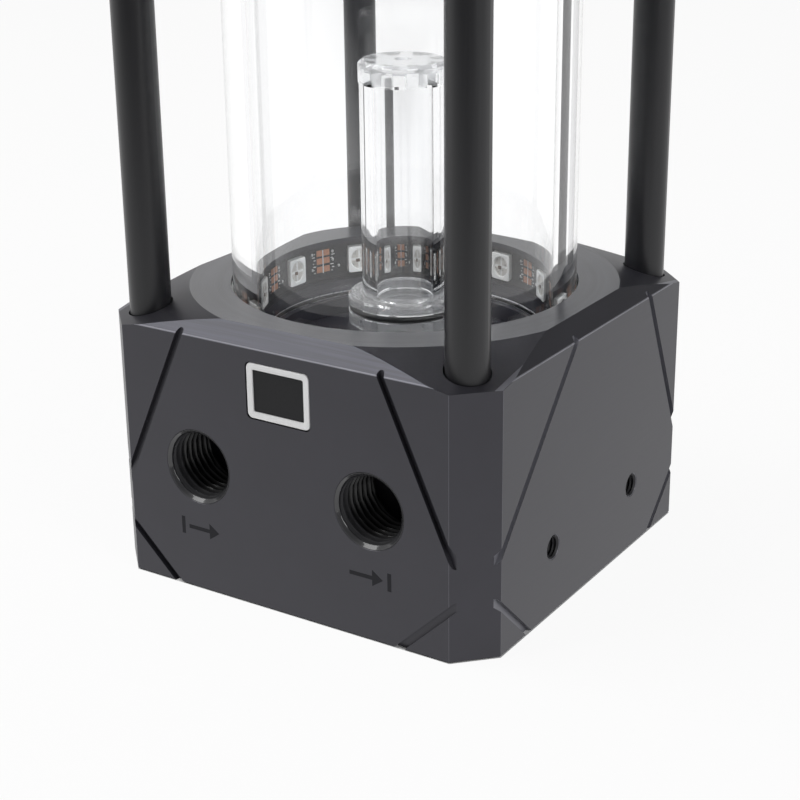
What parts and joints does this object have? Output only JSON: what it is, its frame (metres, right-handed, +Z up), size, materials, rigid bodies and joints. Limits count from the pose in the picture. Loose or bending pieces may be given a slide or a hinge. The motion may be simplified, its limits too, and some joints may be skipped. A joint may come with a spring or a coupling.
{
  "type": "coolant pump reservoir",
  "caption": "Square pump base with two front ports, clear reservoir tube held by four rods under a cap, and a clear riser over a lit floor.",
  "frame": {"origin": "centre of the underside of the base", "axes": "+Z up along the tube, -Y out of the side with the two ports, +X out of the side with the two tapped holes"},
  "size_m": [0.0762, 0.0762, 0.2062],
  "materials": {
    "black_acetal": "machined black acetal, satin, with fine milling lines",
    "clear_acrylic": "clear polished acrylic",
    "black_anodised": "black anodised aluminium, satin",
    "seal_rubber": "black rubber",
    "flex_board": "black flexible circuit board with copper pads",
    "light_package": "white moulded light packages",
    "badge_metal": "black plate with a silver rim, bare",
    "steel_black": "black oxide steel screws",
    "steel_bright": "stainless steel",
    "laminated_steel": "laminated electrical steel",
    "copper_wire": "enamelled copper windings",
    "green_board": "green circuit board",
    "ceramic": "white ceramic",
    "carbon": "carbon graphite",
    "ferrite": "bonded ferrite magnet",
    "impeller_plastic": "moulded glass-filled plastic"
  },
  "bodies": {
    "housing": {"base_block": "black_acetal", "reservoir_tube": "clear_acrylic", "tube_seal_lower": "seal_rubber", "tube_seal_upper": "seal_rubber", "top_cap": "black_acetal", "riser_tube": "clear_acrylic", "riser_seal": "seal_rubber", "riser_cap": "clear_acrylic", "led_strip": "flex_board", "led_packages": "light_package", "rod_front_left": "black_anodised", "rod_front_right": "black_anodised", "rod_back_left": "black_anodised", "rod_back_right": "black_anodised", "rod_screws_lower": "steel_black", "rod_screws_upper": "steel_black", "badge_plate": "badge_metal", "pump_cover": "black_acetal", "cover_screws": "steel_bright", "motor_can": "steel_bright", "can_seal": "seal_rubber", "stator_core": "laminated_steel", "stator_coils": "copper_wire", "driver_board": "green_board", "pump_shaft": "ceramic", "cable_grommet": "seal_rubber"},
    "rotor": {"rotor_bush": "carbon", "rotor_magnet": "ferrite", "impeller": "impeller_plastic"},
    "plug": {"fill_plug": "black_acetal", "fill_plug_seal": "seal_rubber"}
  },
  "joints": [
    {"name": "rotor_spin", "type": "hinge", "parent": "housing", "child": "rotor", "pos_m": [0, 0.006, 0.0195], "axis": [0, 0, 1], "continuous": true},
    {"name": "plug_lift", "type": "slide", "parent": "housing", "child": "plug", "axis": [0, 0, 1], "range_m": [0, 0.014]}
  ]
}
